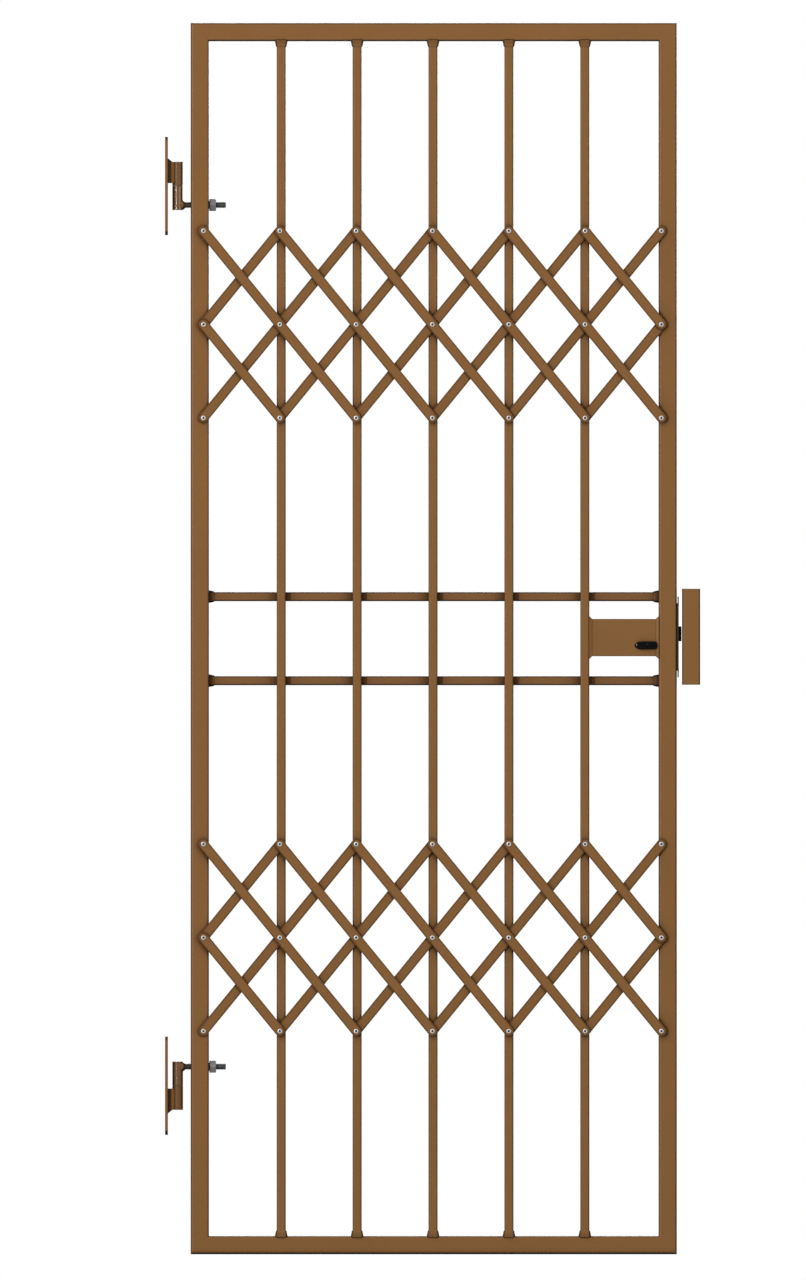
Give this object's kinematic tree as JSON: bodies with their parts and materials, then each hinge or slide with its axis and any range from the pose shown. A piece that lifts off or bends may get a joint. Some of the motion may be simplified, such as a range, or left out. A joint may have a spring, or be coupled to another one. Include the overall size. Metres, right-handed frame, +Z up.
{
  "type": "hinged security gate with trellis lattice",
  "caption": "Hinged steel security gate: square-tube frame and uprights, two fixed riveted trellis bands, wall hinges, and a lock case whose bolt slides into a wall keep.",
  "frame": {"origin": "centre of the lower hinge plate's back face, where it meets the hinge-side wall", "axes": "+X from the hinge wall to the lock side, +Y away from a viewer on the lattice side, +Z up"},
  "size_m": [0.8475, 0.0363, 1.95],
  "materials": {
    "bronze_powder_coat": "satin bronze-brown powder coat",
    "zinc_steel": "dull zinc plate",
    "dark_steel": "oiled dark steel",
    "dark_plate": "dark grey coated steel",
    "black_steel": "black satin",
    "black_gloss": "black gloss"
  },
  "bodies": {
    "wall_side": {"upper_hinge_plate": "bronze_powder_coat", "lower_hinge_plate": "bronze_powder_coat", "upper_hinge_gusset": "bronze_powder_coat", "lower_hinge_gusset": "bronze_powder_coat", "upper_wall_knuckle": "bronze_powder_coat", "lower_wall_knuckle": "bronze_powder_coat", "upper_hinge_pin": "dark_steel", "lower_hinge_pin": "dark_steel", "keep_box": "bronze_powder_coat"},
    "gate_leaf": {"top_rail": "bronze_powder_coat", "bottom_rail": "bronze_powder_coat", "hinge_stile": "bronze_powder_coat", "lock_stile": "bronze_powder_coat", "upright_1": "bronze_powder_coat", "upright_2": "bronze_powder_coat", "upright_3": "bronze_powder_coat", "upright_4": "bronze_powder_coat", "upright_5": "bronze_powder_coat", "upper_cross_bar": "bronze_powder_coat", "lower_cross_bar": "bronze_powder_coat", "upper_lattice_back_strips": "bronze_powder_coat", "upper_lattice_front_strips": "bronze_powder_coat", "lower_lattice_back_strips": "bronze_powder_coat", "lower_lattice_front_strips": "bronze_powder_coat", "lattice_spacers": "bronze_powder_coat", "upper_gate_knuckle": "bronze_powder_coat", "lower_gate_knuckle": "bronze_powder_coat", "upper_hinge_stud": "dark_steel", "lower_hinge_stud": "dark_steel", "upper_stud_nut": "zinc_steel", "lower_stud_nut": "zinc_steel", "lock_case": "bronze_powder_coat", "key_escutcheon": "black_gloss", "forend_packer": "bronze_powder_coat", "forend_faceplate": "dark_plate"},
    "lock_bolt": {"lock_bolt": "black_steel"}
  },
  "joints": [
    {"name": "gate_swing", "type": "hinge", "parent": "wall_side", "child": "gate_leaf", "pos_m": [0.02, 0, 0], "axis": [0, 0, 1], "range_deg": [0, 90]},
    {"name": "bolt_throw", "type": "slide", "parent": "gate_leaf", "child": "lock_bolt", "axis": [1, 0, 0], "range_m": [0, 0.014]}
  ]
}
